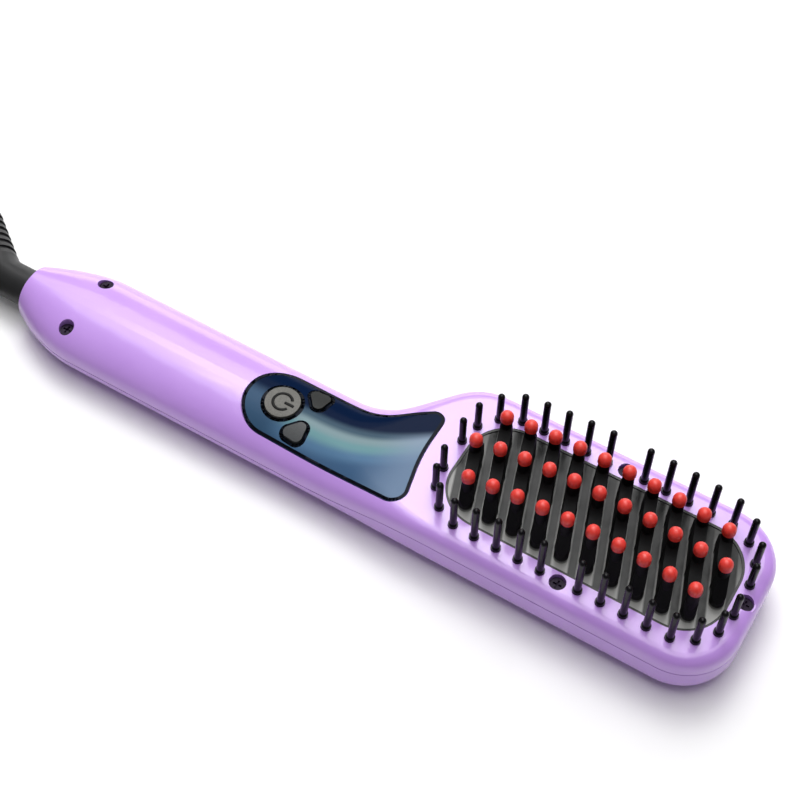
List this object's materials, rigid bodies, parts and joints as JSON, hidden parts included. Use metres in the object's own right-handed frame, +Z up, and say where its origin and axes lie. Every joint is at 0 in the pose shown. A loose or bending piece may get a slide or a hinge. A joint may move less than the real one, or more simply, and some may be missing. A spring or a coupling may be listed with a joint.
{
  "type": "electric straightening comb",
  "caption": "Handheld heated hair-straightening comb: flat rounded head with slanted toothed ribs and guard bristles, oval handle with display and buttons, swivel cord.",
  "frame": {"origin": "middle of the body's box, on the surface that it lies on; the cord, coil, plug and boot don't count", "axes": "+X along the handle to the head's free end, +Z up out of the toothed face, +Y to the waisted side"},
  "size_m": [0.4251, 0.104, 0.0444],
  "materials": {
    "lilac_shell": "gloss",
    "plate_black": "gloss",
    "tip_red": "satin",
    "nylon_black": "satin",
    "gasket_black": "matte",
    "frame_grey": "matte",
    "screw_steel": "satin",
    "heater_ceramic": "matte",
    "clamp_steel": "satin",
    "mica_sheet": "satin",
    "sensor_glass": "gloss",
    "panel_navy": "gloss",
    "button_grey": "satin",
    "switch_black": "matte",
    "board_green": "satin",
    "display_white": "matte",
    "display_clear": "gloss",
    "component_black": "matte",
    "capacitor_yellow": "satin",
    "lead_white": "matte",
    "contact_brass": "satin",
    "cord_black": "satin",
    "pin_metal": "gloss"
  },
  "bodies": {
    "body": {"front_shell": "lilac_shell", "rear_shell": "lilac_shell", "heating_plate": "plate_black", "tip_caps": "tip_red", "plate_gasket": "gasket_black", "guard_bristles": "nylon_black", "bristle_retainer": "frame_grey", "retainer_screws": "clamp_steel", "heater_element": "heater_ceramic", "heater_clamp": "clamp_steel", "clamp_screws": "clamp_steel", "heat_shield": "mica_sheet", "temperature_sensor": "sensor_glass", "thermal_fuse": "clamp_steel", "head_screws": "screw_steel", "handle_screws": "screw_steel", "control_panel": "panel_navy", "tact_switches": "clamp_steel", "control_board": "board_green", "board_screws": "clamp_steel", "display_backlight": "display_white", "display_glass": "display_clear", "controller_chip": "component_black", "film_capacitor": "capacitor_yellow", "triac": "component_black", "fuse_link": "sensor_glass", "heater_leads": "lead_white", "supply_leads": "lead_white", "contact_block": "switch_black", "contact_springs": "contact_brass"},
    "power_key": {"power_button": "button_grey", "power_plunger": "switch_black"},
    "lower_key": {"lower_button": "button_grey", "lower_plunger": "switch_black"},
    "raise_key": {"raise_button": "button_grey", "raise_plunger": "switch_black"},
    "cord_outlet": {"swivel_hub": "nylon_black", "slip_rings": "contact_brass", "strain_relief": "cord_black", "cord_run": "cord_black", "cord_coil": "cord_black", "cord_tie": "gasket_black", "plug_body": "cord_black", "plug_pins": "pin_metal"}
  },
  "joints": [
    {"name": "power_press", "type": "slide", "parent": "body", "child": "power_key", "axis": [0, 0, -1], "range_m": [0, 0.0006], "stiffness_N_per_m": 800},
    {"name": "lower_press", "type": "slide", "parent": "body", "child": "lower_key", "axis": [0, 0, -1], "range_m": [0, 0.0006], "stiffness_N_per_m": 800},
    {"name": "raise_press", "type": "slide", "parent": "body", "child": "raise_key", "axis": [0, 0, -1], "range_m": [0, 0.0006], "stiffness_N_per_m": 800},
    {"name": "cord_swivel", "type": "hinge", "parent": "body", "child": "cord_outlet", "pos_m": [-0.142, -0.0127, 0.01075], "axis": [1, 0, 0], "continuous": true}
  ]
}
